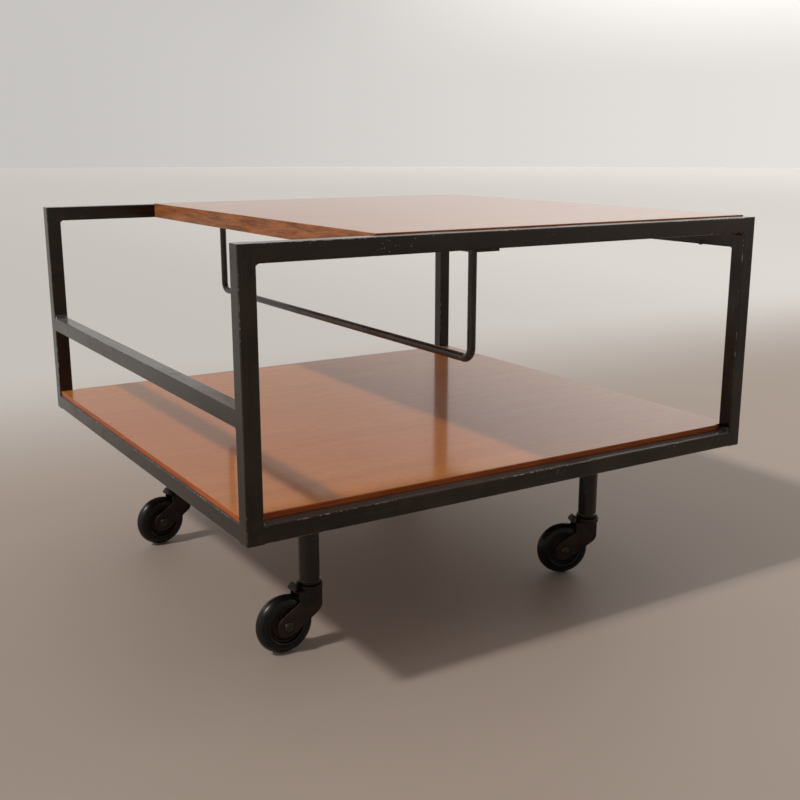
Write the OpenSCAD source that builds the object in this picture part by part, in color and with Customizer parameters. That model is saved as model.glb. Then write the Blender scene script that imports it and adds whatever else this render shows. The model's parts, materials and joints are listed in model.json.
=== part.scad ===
// Low bar cart: a welded square-tube frame with a thick top board, an open bottle end,
// a thin lower board and four swivel casters on round stems.
// Millimetres, +Z up. Origin: centre of the plan, on the floor. +X runs along the front.

/* [Frame] */
// Overall length along X
frame_w = 810; // [700:5:900]
// Overall depth along Y
frame_d = 796; // [700:2:900]
// Height of the frame box, from bottom rail to top rail
frame_h = 341; // [300:1:420]
// Side of the square tube
tube = 22; // [20:1:25]
// Wall of the square tube
tube_wall = 1.5; // [1:0.5:2]
// Rounding of the tube edges
tube_edge = 2; // [1.6:0.1:2.5]
// Gap between the floor and the underside of the frame
ground = 224; // [215:1:250]
// Underside of the bottle guard rail, above the underside of the frame
guard_height = 135; // [120:1:160]

/* [Boards] */
// Thickness of the top board
slab_thick = 24; // [22:1:30]
// Length of the open bottle end, from the left face to the top board
bottle_end = 184; // [150:1:240]
// Thickness of the lower board
shelf_thick = 8; // [7:1:12]
// Setback of the lower board from the left and right faces
shelf_setback = 2; // [1:1:8]
// Overlap of the lower board on the front and back rails
shelf_lap = 3; // [2.5:0.5:6]

/* [Bottle rod] */
// Diameter of the round rod
rod_d = 11; // [8:1:12]
// Distance of the rod from the left face
rod_x = 315; // [290:1:400]
// Height of the rod's long run above the underside of the frame
rod_height = 182; // [150:1:230]
// Bend radius of the rod, on its centre line
rod_bend = 15; // [12:1:30]

/* [Casters] */
// Distance of each stem from the frame's outer faces
inset = 157; // [130:1:200]
// Diameter of the round stem
stem_d = 28.6; // [28:0.1:29]
// Diameter of the tyre
tyre_d = 82; // [80:1:83]
// Width of the tyre
tyre_w = 23; // [21:0.5:23.5]
// Distance from the stem's axis to the axle
trail = 40; // [39:0.5:41]
// Heading of the front left wheel, degrees from +X
heading_fl = 181; // [0:1:360]
// Heading of the front right wheel
heading_fr = 159; // [0:1:360]
// Heading of the back left wheel
heading_bl = 185; // [0:1:360]
// Heading of the back right wheel
heading_br = 170; // [0:1:360]

/* [Hidden] */
$fn = 48;

// Colours
steel = [0.17, 0.14, 0.12];
weld_steel = [0.21, 0.17, 0.15];
caster_steel = [0.20, 0.12, 0.10];
bright_steel = [0.55, 0.55, 0.54];
zinc = [0.42, 0.38, 0.34];
top_wood = [0.74, 0.52, 0.36];
shelf_wood = [0.66, 0.40, 0.22];
rubber = [0.05, 0.05, 0.05];

// Frame planes
x_left = -frame_w/2;
x_right = frame_w/2;
y_front = -frame_d/2;
y_back = frame_d/2;
z_low = ground;
z_high = ground + frame_h;
slab_bottom = z_high - tube;
board_gap = 0.5;
board_round = 1;
weld_leg = 6;
weld_len = tube - 2*tube_edge;
cap = 2;
overshoot = 1;

// Tabs that carry the left part of the top board
tab_thick = 3;
tab_w = 42;
tab_d = 54;
tab_x = x_left + rod_x - 7;
tab_corner = 3;
tab_inset = 1;
tab_screw_x = tab_x + 28;
tab_screw_y = frame_d/2 - 44;

// Screws
screw_r = 2;
screw_head_r = 4;
screw_head_h = 2.4;
screw_dome_r = 6;
screw_fit = 0.1;
screw_bite_top = 13;
screw_bite_shelf = 4;
bar_screw_y = [-frame_d/2 + 90, 0, frame_d/2 - 90];

// Caster heights above the floor and sizes
axle_z = tyre_d/2;
crown_top = 86;
crown_thick = 2.8;
cup_r = 18;
cup_low = 82;
cup_high = 91;
cup_bore_r = 13.4;
race_low = 92;
race_high = 96.5;
race_r = 16;
race_boss_r = 13;
race_boss_low = 89.8;
press_fit = 0.02;
weld_ring = 1.5;
pin_r = 5;
pin_fit = 0.08;
pin_head_r = 8;
pin_head_h = 3;
pin_play = 0.3;
join = 0.1;
ball_r = 2.2;
ball_count = 12;
ball_pitch_r = 9.6;
ball_z = 87.9;
groove_r = 2.5;
stem_wall = 2;

// Fork
fork_half = 14.5;
cheek = 2.3;
fork_bend = 4;
fork_back = 12;
fork_front = 22;
elbow_s = 3;
elbow_z = 65;
elbow_r = 15;
eye_r = 15.5;
lip_root = 19;
lip_out = 28;
lip_lean = 4.5;
lip_thick = 2.4;
lip_top = 95;
lip_half = 11;

// Axle and wheel
bolt_r = 4;
bolt_fit = 0.08;
bolt_head_r = 6.5;
bolt_head_h = 2.6;
bolt_dome_r = 12;
nut_flats = 13;
nut_h = 4.5;
bolt_tail = 1.5;
disc_r = 24;
hub_r = 8.5;
hub_half = 11.4;
web_half = 6;
disc_rim_half = 8.5;
disc_flange = 3.5;
hub_step = 2;
hub_flare = 5;
hub_lap = 1;
bead_r = 3;

// Corner selectors: [x side, y side, heading]
FL = [-1, -1, heading_fl];
FR = [1, -1, heading_fr];
BL = [-1, 1, heading_bl];
BR = [1, 1, heading_br];

function stem_x(c) = c[0]*(frame_w/2 - inset);
function stem_y(c) = c[1]*(frame_d/2 - inset);

// ---- shared shapes ----

// Square with rounded corners, low corner at the origin
module soft_square(a, b, r) {
  translate([r, 0]) square([a - 2*r, b]);
  translate([0, r]) square([a, b - 2*r]);
  for (x = [r, a - r], y = [r, b - r]) translate([x, y]) circle(r);
}

// Section of the square tube
module tube_section() {
  difference() {
    soft_square(tube, tube, tube_edge);
    translate([tube_wall, tube_wall]) square(tube - 2*tube_wall);
  }
}

// Square tube of a given length along +Z, +X or +Y from its low corner
module tube_z(len) linear_extrude(len) tube_section();
module tube_x(len) rotate([90, 0, 90]) linear_extrude(len) tube_section();
module tube_y(len) translate([0, len, 0]) rotate([90, 0, 0]) linear_extrude(len) tube_section();

// Board with softened edges all round, low corner at the origin
module board(l, w, h, r) {
  intersection() {
    linear_extrude(h) soft_square(l, w, r);
    rotate([90, 0, 90]) linear_extrude(l) soft_square(w, h, r);
    translate([0, w, 0]) rotate([90, 0, 0]) linear_extrude(w) soft_square(l, h, r);
  }
}

// Concave weld fillet filling the corner at the origin, along +Z, towards +X and +Y
module fillet(len, leg) {
  linear_extrude(len) difference() {
    square(leg);
    translate([leg, leg]) circle(leg);
  }
}

// ---- frame ----

module post(sx, sy) {
  translate([sx < 0 ? x_left : x_right - tube, sy < 0 ? y_front : y_back - tube, z_low + cap])
    tube_z(frame_h - 2*cap);
}

module post_front_left() color(steel) post(-1, -1);
module post_front_right() color(steel) post(1, -1);
module post_back_left() color(steel) post(-1, 1);
module post_back_right() color(steel) post(1, 1);

// Square plates that close both ends of each post
module post_caps() {
  color(steel)
    for (x = [x_left, x_right - tube], y = [y_front, y_back - tube], z = [z_low, z_high - cap])
      translate([x, y, z]) linear_extrude(cap) soft_square(tube, tube, tube_edge);
}

// Rail along X between the posts
module long_rail(y, z) translate([x_left + tube, y, z]) tube_x(frame_w - 2*tube);
// Rail along Y between the posts
module cross_rail(x, z) translate([x, y_front + tube, z]) tube_y(frame_d - 2*tube);

module top_rail_front() color(steel) long_rail(y_front, z_high - tube);
module top_rail_back() color(steel) long_rail(y_back - tube, z_high - tube);
module bottom_rail_front() color(steel) long_rail(y_front, z_low);
module bottom_rail_back() color(steel) long_rail(y_back - tube, z_low);
module bottom_rail_left() color(steel) cross_rail(x_left, z_low);
module bottom_rail_right() color(steel) cross_rail(x_right - tube, z_low);
module guard_rail_left() color(steel) cross_rail(x_left, z_low + guard_height);

// Vertical screw hole that cuts from z1 to z2 and a little past both
module screw_hole(x, y, z1, z2)
  translate([x, y, z1 - overshoot])
    cylinder(h = z2 - z1 + 2*overshoot, r = screw_r + screw_fit);

// The right cross rail sits one tube lower and carries the end of the top board
module top_rail_right() color(steel) difference() {
  cross_rail(x_right - tube, slab_bottom - tube);
  for (y = bar_screw_y) screw_hole(x_right - tube/2, y, slab_bottom - tube, slab_bottom);
}

// Hidden cross bars under the lower board, above the stems
module caster_bar(side) difference() {
  cross_rail(side*(frame_w/2 - inset) - tube/2, z_low);
  for (y = bar_screw_y)
    screw_hole(side*(frame_w/2 - inset), y, z_low, z_low + tube);
}
module caster_bar_left() color(steel) caster_bar(-1);
module caster_bar_right() color(steel) caster_bar(1);

// Fillet along X in the inner corner between a post (side sy) and a cross rail's face at height z
module cross_fillet(x, sy, z, up) {
  translate([x + tube_edge, sy*(frame_d/2 - tube), z])
    mirror([0, sy > 0 ? 1 : 0, 0])
      mirror([0, 0, up ? 0 : 1])
        rotate([90, 0, 90]) fillet(weld_len, weld_leg);
}

// Fillet along Y in one corner of the front or the back opening
module corner_fillet(y, sx, top) {
  translate([sx*(frame_w/2 - tube), y + tube_edge, top ? z_high - tube : z_low + tube])
    mirror([sx > 0 ? 1 : 0, 0, 0])
      mirror([0, 0, top ? 1 : 0])
        translate([0, weld_len, 0]) rotate([90, 0, 0]) fillet(weld_len, weld_leg);
}

// Weld ring where a stem meets its race
module stem_ring(c) {
  translate([stem_x(c), stem_y(c), race_high]) rotate_extrude()
    polygon([[stem_d/2, 0], [stem_d/2 + weld_ring, 0], [stem_d/2, weld_ring]]);
}

module weld_fillets() {
  color(weld_steel) {
    for (y = [y_front, y_back - tube], sx = [-1, 1], top = [false, true]) corner_fillet(y, sx, top);
    for (sy = [-1, 1]) {
      cross_fillet(x_right - tube, sy, slab_bottom - tube, false);
      cross_fillet(x_left, sy, z_low + guard_height + tube, true);
    }
    for (c = [FL, FR, BL, BR]) stem_ring(c);
  }
}

// ---- bottle rod and tabs ----

// U-shaped rod: two legs down from the tabs and one long run along Y
module bottle_rod() {
  leg_y = frame_d/2 - tube/2;
  run_z = z_low + rod_height;
  leg_top = slab_bottom - tab_thick;
  color(steel) translate([x_left + rod_x, 0, 0]) {
    for (s = [-1, 1]) {
      translate([0, s*leg_y, run_z + rod_bend])
        cylinder(h = leg_top - run_z - rod_bend, d = rod_d);
      translate([0, s*(leg_y - rod_bend), run_z + rod_bend])
        rotate([0, 90, 0]) rotate([0, 0, s > 0 ? 0 : 270])
          rotate_extrude(angle = 90) translate([rod_bend, 0]) circle(d = rod_d);
    }
    translate([0, leg_y - rod_bend, run_z]) rotate([90, 0, 0])
      cylinder(h = 2*(leg_y - rod_bend), d = rod_d);
  }
}

// Flat steel tabs under the rails: the rod is welded to them and the top board is screwed down
module slab_tabs() {
  color(steel) for (s = [0, 1]) mirror([0, s, 0]) difference() {
    translate([tab_x, y_front + tab_inset, slab_bottom - tab_thick])
      linear_extrude(tab_thick) soft_square(tab_w, tab_d - tab_inset, tab_corner);
    screw_hole(tab_screw_x, -tab_screw_y, slab_bottom - tab_thick, slab_bottom);
  }
}

// ---- boards ----

module top_slab() {
  color(top_wood) difference() {
    translate([x_left + bottle_end, y_front + tube + board_gap, slab_bottom])
      board(frame_w - bottle_end, frame_d - 2*tube - 2*board_gap, slab_thick, board_round);
    for (s = [-1, 1])
      screw_hole(tab_screw_x, s*tab_screw_y, slab_bottom, slab_bottom + screw_bite_top);
    for (y = bar_screw_y)
      screw_hole(x_right - tube/2, y, slab_bottom, slab_bottom + screw_bite_top);
  }
}

// The lower board rests on all four rails, notched at its corners around the posts and the welds
module lower_shelf() {
  notch = tube + shelf_lap;
  y_edge = y_front + tube - shelf_lap;
  color(shelf_wood) difference() {
    translate([x_left + shelf_setback, y_edge, z_low + tube])
      board(frame_w - 2*shelf_setback, -2*y_edge, shelf_thick, board_round);
    for (sx = [0, 1], sy = [0, 1])
      mirror([sx, 0, 0]) mirror([0, sy, 0])
        translate([x_left - board_gap, y_front + tube + board_gap - notch, z_low + tube - overshoot])
          cube([tube + weld_leg + 2*board_gap, notch, shelf_thick + 2*overshoot]);
    for (side = [-1, 1], y = bar_screw_y)
      screw_hole(side*(frame_w/2 - inset), y, z_low + tube, z_low + tube + screw_bite_shelf);
  }
}

// Pan-head screw whose head's flat side lies at z = 0, shank upwards
module screw(len) {
  cylinder(h = len, r = screw_r);
  mirror([0, 0, 1]) rotate_extrude() intersection() {
    square([screw_head_r, screw_head_h]);
    translate([0, screw_head_h - screw_dome_r]) circle(screw_dome_r);
  }
}

module top_screws() {
  color(zinc) {
    for (s = [-1, 1])
      translate([tab_screw_x, s*tab_screw_y, slab_bottom - tab_thick])
        screw(tab_thick + screw_bite_top);
    for (y = bar_screw_y)
      translate([x_right - tube/2, y, slab_bottom - tube]) screw(tube + screw_bite_top);
  }
}

module shelf_screws() {
  color(zinc) for (side = [-1, 1], y = bar_screw_y)
    translate([side*(frame_w/2 - inset), y, z_low]) screw(tube + screw_bite_shelf);
}

// ---- casters: local frame has the stem's axis on Z, the wheel towards +X ----

module at_stem(c) translate([stem_x(c), stem_y(c), 0]) rotate([0, 0, c[2]]) children();
// On the axle's centre, with the axle along Z and the bolt's head at +Z
module at_axle(c) at_stem(c) translate([trail, 0, axle_z]) rotate([-90, 0, 0]) children();

module stem(c) color(steel) at_stem(c) translate([0, 0, race_high]) difference() {
  cylinder(h = z_low - race_high, d = stem_d);
  translate([0, 0, -overshoot])
    cylinder(h = z_low - race_high + 2*overshoot, d = stem_d - 2*stem_wall);
}

// Ball groove around the swivel axis
module ball_groove() translate([0, 0, ball_z]) rotate_extrude()
  translate([ball_pitch_r, 0]) circle(groove_r);

module upper_race(c) color(caster_steel) at_stem(c) difference() {
  union() {
    translate([0, 0, race_low]) cylinder(h = race_high - race_low, r = race_r);
    translate([0, 0, race_boss_low])
      cylinder(h = race_low - race_boss_low + join, r = race_boss_r);
  }
  ball_groove();
  translate([0, 0, race_boss_low - overshoot])
    cylinder(h = race_high - race_boss_low + 2*overshoot, r = pin_r + press_fit);
}

// Riveted pin: it holds the fork up against the balls
module kingpin(c) color(zinc) at_stem(c) {
  head_top = crown_top - crown_thick - pin_play;
  translate([0, 0, head_top - pin_head_h]) cylinder(h = pin_head_h, r = pin_head_r);
  translate([0, 0, head_top - join]) cylinder(h = race_high - head_top + 2*join, r = pin_r);
  translate([0, 0, race_high]) cylinder(h = pin_head_h, r = pin_head_r);
}

module balls(c) color(bright_steel) at_stem(c)
  for (i = [0:ball_count - 1])
    rotate([0, 0, i*360/ball_count]) translate([ball_pitch_r, 0, ball_z]) sphere(ball_r);

// Side outline of the fork: a boxy head, an elbow and an arm that ends in a round eye
module fork_outline() {
  n = [axle_z - elbow_z, elbow_s - trail]/norm([trail - elbow_s, axle_z - elbow_z]);
  translate([-fork_back, elbow_z]) square([fork_back + fork_front, crown_top - elbow_z]);
  translate([elbow_s, elbow_z]) circle(elbow_r);
  translate([trail, axle_z]) circle(eye_r);
  polygon([
    [elbow_s, elbow_z] + elbow_r*n, [trail, axle_z] + eye_r*n,
    [trail, axle_z] - eye_r*n, [elbow_s, elbow_z] - elbow_r*n
  ]);
}

// End view of the fork: an upside-down U with rounded shoulders
module fork_section() {
  low = axle_z - eye_r - overshoot;
  difference() {
    translate([-fork_half, low]) union() {
      square([2*fork_half, crown_top - low - fork_bend]);
      translate([fork_bend, 0]) square([2*fork_half - 2*fork_bend, crown_top - low]);
      for (x = [fork_bend, 2*fork_half - fork_bend])
        translate([x, crown_top - low - fork_bend]) circle(fork_bend);
    }
    translate([cheek - fork_half, low - overshoot])
      square([2*(fork_half - cheek), crown_top - crown_thick - low + overshoot]);
  }
}

// Both cheeks and the crown, bent from one sheet
module fork_sheet() {
  back = fork_back + 2*overshoot;
  intersection() {
    translate([0, fork_half + overshoot, 0]) rotate([90, 0, 0])
      linear_extrude(2*fork_half + 2*overshoot) fork_outline();
    translate([-back, 0, 0]) rotate([90, 0, 90])
      linear_extrude(back + trail + eye_r + overshoot) fork_section();
  }
}

// Round cup that holds the balls
module fork_cup() {
  translate([0, 0, crown_top - crown_thick]) cylinder(h = crown_thick, r = cup_r);
  translate([0, 0, cup_low]) difference() {
    cylinder(h = cup_high - cup_low, r = cup_r);
    translate([0, 0, -overshoot]) cylinder(h = cup_high - cup_low + 2*overshoot, r = cup_bore_r);
  }
}

// Turned-up lip over the tyre, leaning back towards the stem
module fork_lip() {
  low = crown_top - crown_thick;
  inside = lip_out - lip_thick;
  translate([0, lip_half, 0]) rotate([90, 0, 0]) linear_extrude(2*lip_half) polygon([
    [lip_root, low], [lip_out, low], [lip_out, crown_top], [lip_out - lip_lean, lip_top],
    [inside - lip_lean, lip_top], [inside, crown_top], [lip_root, crown_top]
  ]);
}

module fork(c) color(caster_steel) at_stem(c) difference() {
  union() {
    fork_sheet();
    fork_cup();
    fork_lip();
  }
  ball_groove();
  translate([0, 0, cup_low - overshoot])
    cylinder(h = cup_high - cup_low + 2*overshoot, r = pin_r + pin_fit);
  translate([trail, fork_half + overshoot, axle_z]) rotate([90, 0, 0])
    cylinder(h = 2*fork_half + 2*overshoot, r = bolt_r + press_fit);
}

module axle_bolt(c) color(zinc) at_axle(c) {
  translate([0, 0, -fork_half - nut_h - bolt_tail])
    cylinder(h = 2*fork_half + nut_h + bolt_tail + join, r = bolt_r);
  translate([0, 0, fork_half]) rotate_extrude() intersection() {
    square([bolt_head_r, bolt_head_h]);
    translate([0, bolt_head_h - bolt_dome_r]) circle(bolt_dome_r);
  }
}

module axle_nut(c) color(zinc) at_axle(c) translate([0, 0, -fork_half - nut_h]) difference() {
  cylinder(h = nut_h, r = nut_flats/2/cos(30), $fn = 6);
  translate([0, 0, -overshoot]) cylinder(h = nut_h + 2*overshoot, r = bolt_r + press_fit);
}

// Pressed disc with a long hub, a dished web and a flanged rim
module wheel_disc(c) color(caster_steel) at_axle(c) difference() {
  rotate_extrude() {
    translate([0, -hub_half]) square([hub_r, 2*hub_half]);
    translate([0, -web_half]) square([disc_r, 2*web_half]);
    translate([disc_r - disc_flange, -disc_rim_half]) square([disc_flange, 2*disc_rim_half]);
    polygon([
      [hub_r - hub_lap, hub_step - hub_half], [hub_r + hub_flare, hub_lap - web_half],
      [hub_r + hub_flare, web_half - hub_lap], [hub_r - hub_lap, hub_half - hub_step]
    ]);
  }
  translate([0, 0, -hub_half - overshoot])
    cylinder(h = 2*(hub_half + overshoot), r = bolt_r + bolt_fit);
}

// Solid rubber tyre with a rounded tread
module tyre(c) color(rubber) at_axle(c) rotate_extrude() difference() {
  half = tyre_w/2;
  tread_r = tyre_d/2 - half;
  union() {
    translate([disc_r, bead_r - half]) square([tread_r - disc_r, tyre_w - 2*bead_r]);
    for (s = [-1, 1]) translate([disc_r + bead_r, s*(half - bead_r)]) circle(bead_r);
    translate([disc_r + bead_r, -half]) square([tread_r - disc_r - bead_r, tyre_w]);
    translate([tread_r, 0]) circle(half);
  }
  translate([0, -half - overshoot]) square([disc_r, tyre_w + 2*overshoot]);
}

post_front_left();
post_front_right();
post_back_left();
post_back_right();
top_rail_front();
top_rail_back();
top_rail_right();
guard_rail_left();
bottom_rail_front();
bottom_rail_back();
bottom_rail_left();
bottom_rail_right();
caster_bar_left();
caster_bar_right();
post_caps();
weld_fillets();
bottle_rod();
slab_tabs();
top_slab();
lower_shelf();
top_screws();
shelf_screws();
stem(FL);  // stem_fl
stem(FR);  // stem_fr
stem(BL);  // stem_bl
stem(BR);  // stem_br
upper_race(FL);  // upper_race_fl
upper_race(FR);  // upper_race_fr
upper_race(BL);  // upper_race_bl
upper_race(BR);  // upper_race_br
kingpin(FL);  // kingpin_fl
kingpin(FR);  // kingpin_fr
kingpin(BL);  // kingpin_bl
kingpin(BR);  // kingpin_br
balls(FL);  // balls_fl
balls(FR);  // balls_fr
balls(BL);  // balls_bl
balls(BR);  // balls_br
fork(FL);  // fork_fl
fork(FR);  // fork_fr
fork(BL);  // fork_bl
fork(BR);  // fork_br
axle_bolt(FL);  // axle_bolt_fl
axle_bolt(FR);  // axle_bolt_fr
axle_bolt(BL);  // axle_bolt_bl
axle_bolt(BR);  // axle_bolt_br
axle_nut(FL);  // axle_nut_fl
axle_nut(FR);  // axle_nut_fr
axle_nut(BL);  // axle_nut_bl
axle_nut(BR);  // axle_nut_br
wheel_disc(FL);  // wheel_disc_fl
wheel_disc(FR);  // wheel_disc_fr
wheel_disc(BL);  // wheel_disc_bl
wheel_disc(BR);  // wheel_disc_br
tyre(FL);  // tyre_fl
tyre(FR);  // tyre_fr
tyre(BL);  // tyre_bl
tyre(BR);  // tyre_br
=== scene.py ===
"""Looks of the bar cart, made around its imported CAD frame. Metres, in the frame's own axes."""
import json
import math

import bmesh
import bpy
from mathutils import Matrix, Vector, noise


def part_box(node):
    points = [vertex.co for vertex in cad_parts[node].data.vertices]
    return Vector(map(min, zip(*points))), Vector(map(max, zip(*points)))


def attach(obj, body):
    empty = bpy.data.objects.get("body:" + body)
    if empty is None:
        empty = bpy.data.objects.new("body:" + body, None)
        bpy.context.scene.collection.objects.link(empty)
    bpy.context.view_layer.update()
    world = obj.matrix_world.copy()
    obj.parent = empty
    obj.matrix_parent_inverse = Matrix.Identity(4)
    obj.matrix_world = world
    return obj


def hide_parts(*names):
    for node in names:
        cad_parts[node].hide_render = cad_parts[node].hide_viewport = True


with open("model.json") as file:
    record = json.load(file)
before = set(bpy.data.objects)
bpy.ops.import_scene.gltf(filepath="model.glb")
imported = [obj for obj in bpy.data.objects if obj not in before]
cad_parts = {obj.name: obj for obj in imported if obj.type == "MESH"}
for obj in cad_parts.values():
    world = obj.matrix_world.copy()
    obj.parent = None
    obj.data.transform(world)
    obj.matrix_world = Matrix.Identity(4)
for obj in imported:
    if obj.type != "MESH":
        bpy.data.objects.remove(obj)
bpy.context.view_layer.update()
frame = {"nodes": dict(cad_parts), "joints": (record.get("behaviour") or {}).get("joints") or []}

MM = 0.001
CORNERS = ("fl", "fr", "bl", "br")
JOINTS = {joint["name"]: joint for joint in frame["joints"]}
X, Y, Z = Vector((1, 0, 0)), Vector((0, 1, 0)), Vector((0, 0, 1))

# Caster sizes in millimetres, as the CAD frame has them: tyre and disc
TYRE_W, BEAD_R, DISC_R = 23, 3, 24
TREAD_EASE, TREAD_RELIEF, MOULD_LINE = 0.15, 0.2, 0.35
HUB_R, HUB_HALF, HUB_EASE = 8.5, 11.4, 0.5
# Axle bolt and nut
BOLT_R, HEAD_R, HEAD_H, BOLT_TAIL, BOLT_CHAMFER = 4, 6.5, 2.6, 1.5, 0.8
THREADS, THREAD_PITCH, THREAD_DEPTH = 5, 0.8, 0.35
NUT_FLATS, NUT_H, NUT_CHAMFER = 13, 4.5, 0.55
BORE_PLAY = 0.1
# Fork: sheet, elbow, eye, ball cup and ear
FORK_HALF, FORK_BEND, FORK_BACK, FORK_FRONT = 14.5, 4, 12, 22
CHEEK, CROWN_THICK, CROWN_TOP, SHEET_EDGE = 2.3, 2.8, 86, 0.7
ELBOW_S, ELBOW_Z, ELBOW_R, EYE_R = 3, 65, 15, 15.5
EYE_STEPS, CHEEK_STEPS, BEND_STEPS, CORNER_STEPS = range(9, 90, 6), 14, 6, 3
CUP_R, CUP_BORE, CUP_HIGH, CUP_RIM, CUP_FOOT = 18, 13.4, 91, 1.0, 1.2
BALL_PITCH, GROOVE_HALF, GROOVE_DEPTH = 9.6, 1.6, 0.6
LIP_ROOT, LIP_OUT, LIP_TOP, LIP_HALF, LIP_THICK = 19, 28, 95, 11, 2.4
LIP_BEND, LIP_NARROW_FROM, LIP_NARROW_BY, LIP_THIN_BY = 3.2, 88, 4.5, 0.3
# Upper ball race
PIN_R, RACE_R, RACE_LOW, RACE_HIGH, RACE_BOSS_R, RACE_BOSS_LOW = 5, 16, 92, 96.5, 13, 89.8
RACE_FOOT, RACE_SHOULDER = 0.7, 1.1

# Frame: rounding of the tube's edges and setting of the ground seams, in metres
TUBE_EDGE = 2 * MM
FLUSH = 0.04 * MM
SEAM_STEPS = 5
# Welds: leg and ripples in millimetres, and how deep they sink into the tubes
WELD_LEG = 6
WELD_ROOT = 0.3
WELD_END = 0.55
WELD_STEPS = 14
WELD_ANGLES = [math.radians(a) for a in range(12, 90, 13)]
RIPPLE, RIPPLE_SIZE, TREMOR, TREMOR_STEP = 0.5, 0.33, 0.12, 2.2
# Ring of weld under a stem: distance outside the stem's wall, and height
STEM_RING = ((-0.4, -0.2), (1.4, -0.2), (1.3, 0.3), (0.6, 0.9), (0.1, 1.6), (-0.4, 1.6))
# Edges sharper than this, in degrees, stay crisp
CREASE = 32

# Camera, as the photograph was taken
CAMERA_PLACE = (-0.8626, -1.4522, 0.6691)
CAMERA_YAW = 32.088
CAMERA_PITCH = 13.503
CAMERA_LENS = 48.2

# Light from the left, a little under 45 degrees from straight down
KEY_ELEVATION = 47.5
KEY_ANGLE = 4.5
KEY_STRENGTH = 1.9
KEY_COLOUR = (1.0, 0.965, 0.92)

# Pale walls: colour, and brightness along X just above the horizon and higher up
WALL_COLOUR = (1.0, 0.97, 0.932, 1)
WALL_LOW = (0.2, 0.9, 0.57, 0.80)
WALL_HIGH = (0.42, 0.75, 0.58, 1.22)
WALL_RISE = (0.05, 0.18)
WALL_BEHIND_CAMERA = (-0.8, -0.1, 0.47, 1.0)

# Floor: tones around the cart, behind and left of it, and far away, with the distances in metres
FLOOR_RADIUS = 30
FLOOR_NEAR = ((0.305, 0.245, 0.208, 1), (0.345, 0.282, 0.242, 1))
FLOOR_MIDDLE = ((0.53, 0.51, 0.49, 1), (0.68, 0.66, 0.64, 1))
FLOOR_FAR = ((0.545, 0.53, 0.515, 1), (0.76, 0.745, 0.725, 1))
FLOOR_BEHIND = (0.5, 1.8)
FLOOR_LEFT = (-1.9, -0.75)
FLOOR_MIDDLE_X = (0.5, 4.0)
FLOOR_FAR_X = (0, 22)
FLOOR_FAR_REACH = (2.5, 14.0)

# Lacquered steel
LACQUER_DARK = (0.0020, 0.0012, 0.0008)
LACQUER_LIGHT = (0.0155, 0.0090, 0.0056)
RUST = (0.040, 0.020, 0.012, 1)
SMUDGE = (0.0016, 0.0012, 0.0010, 1)
BARE_STEEL = (0.32, 0.28, 0.24, 1)
# Dust, and painted reflection of the walls, on the steel's upward faces
DUST_AND_REFLECTION = (0.110, 0.103, 0.096, 1)
WARM_SHEEN = (1.0, 0.91, 0.83, 1)
# Heights between which the film of dust and painted reflection on the steel's upper faces begins
DUST_AND_REFLECTION_LOW, DUST_AND_REFLECTION_HIGH = 0.20, 0.27

# Pressed and plated steel, and rubber
PRESSED_DARK, PRESSED_LIGHT = (0.0085, 0.0042, 0.0028), (0.030, 0.0130, 0.0080)
OIL = (0.009, 0.0065, 0.0055, 1)
PRESSED_RUB = (0.11, 0.08, 0.065, 1)
ZINC, TARNISH, TARNISH_FROM = (0.085, 0.070, 0.058), (0.018, 0.012, 0.009), 0.40
RUBBER = ((0.0022, 0.0021, 0.0020, 1), (0.0062, 0.0056, 0.0052, 1))
RUBBER_DUST = (0.035, 0.030, 0.026, 1)

# Veneer: seeds of the grain, tones of the faces and of the sides, and varnish
TOP_SEED, SHELF_SEED = 3.0, 11.0
VENEER = ((0.385, 0.116, 0.015, 1), (0.470, 0.160, 0.026, 1))
VENEER_RED = (0.410, 0.118, 0.018, 1)
PORE = (0.085, 0.026, 0.010, 1)
FLECK = (0.190, 0.052, 0.012, 1)
CORE_PLY = (0.19, 0.055, 0.02, 1)
SLAB_SIDES = ((0.150, 0.048, 0.015), (0.360, 0.125, 0.042))
SHELF_SIDES = ((0.260, 0.045, 0.009), (0.460, 0.105, 0.024))
TOP_GLOSS, SHELF_GLOSS, SIDE_DULLING = 0.9, 0.68, 0.8
PLIES = 5


# ---- camera, floor and light ----

def add_camera():
    data = bpy.data.cameras.new("camera")
    data.lens = CAMERA_LENS
    data.sensor_width = 36
    camera = bpy.data.objects.new("camera", data)
    camera.location = CAMERA_PLACE
    camera.rotation_euler = (math.radians(90 - CAMERA_PITCH), 0, math.radians(-CAMERA_YAW))
    bpy.context.scene.collection.objects.link(camera)
    bpy.context.scene.camera = camera


def add_floor():
    """A plain pale disc, large enough to reach the horizon."""
    mesh = bpy.data.meshes.new("floor")
    work = bmesh.new()
    bmesh.ops.create_circle(work, cap_ends=True, segments=96, radius=FLOOR_RADIUS)
    work.to_mesh(mesh)
    work.free()
    floor = bpy.data.objects.new("floor", mesh)
    bpy.context.scene.collection.objects.link(floor)
    shader = Shader("floor_paint")
    cloud = shader.noise(scale=1.5, detail=3)
    near = shader.mix(cloud, *FLOOR_NEAR)
    x, y = shader.position()[:2]
    behind = shader.ramp(y, *FLOOR_BEHIND)
    left = shader.ramp(x, *FLOOR_LEFT, 1.0, 0.0)
    pale = shader.mix(shader.ramp(x, *FLOOR_MIDDLE_X), *FLOOR_MIDDLE)
    middle = shader.mix(shader.math("MAXIMUM", behind, left), near, pale)
    away = shader.mix(shader.ramp(x, *FLOOR_FAR_X), *FLOOR_FAR)
    reach = shader.nodes.new("ShaderNodeVectorMath")
    reach.operation = "LENGTH"
    shader.links.new(shader.place(), reach.inputs[0])
    share = shader.ramp(reach.outputs["Value"], *FLOOR_FAR_REACH)
    shader.link(shader.mix(share, middle, away), "Base Color")
    shader.set("Roughness", 0.6)
    mesh.materials.append(shader.material)


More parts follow.
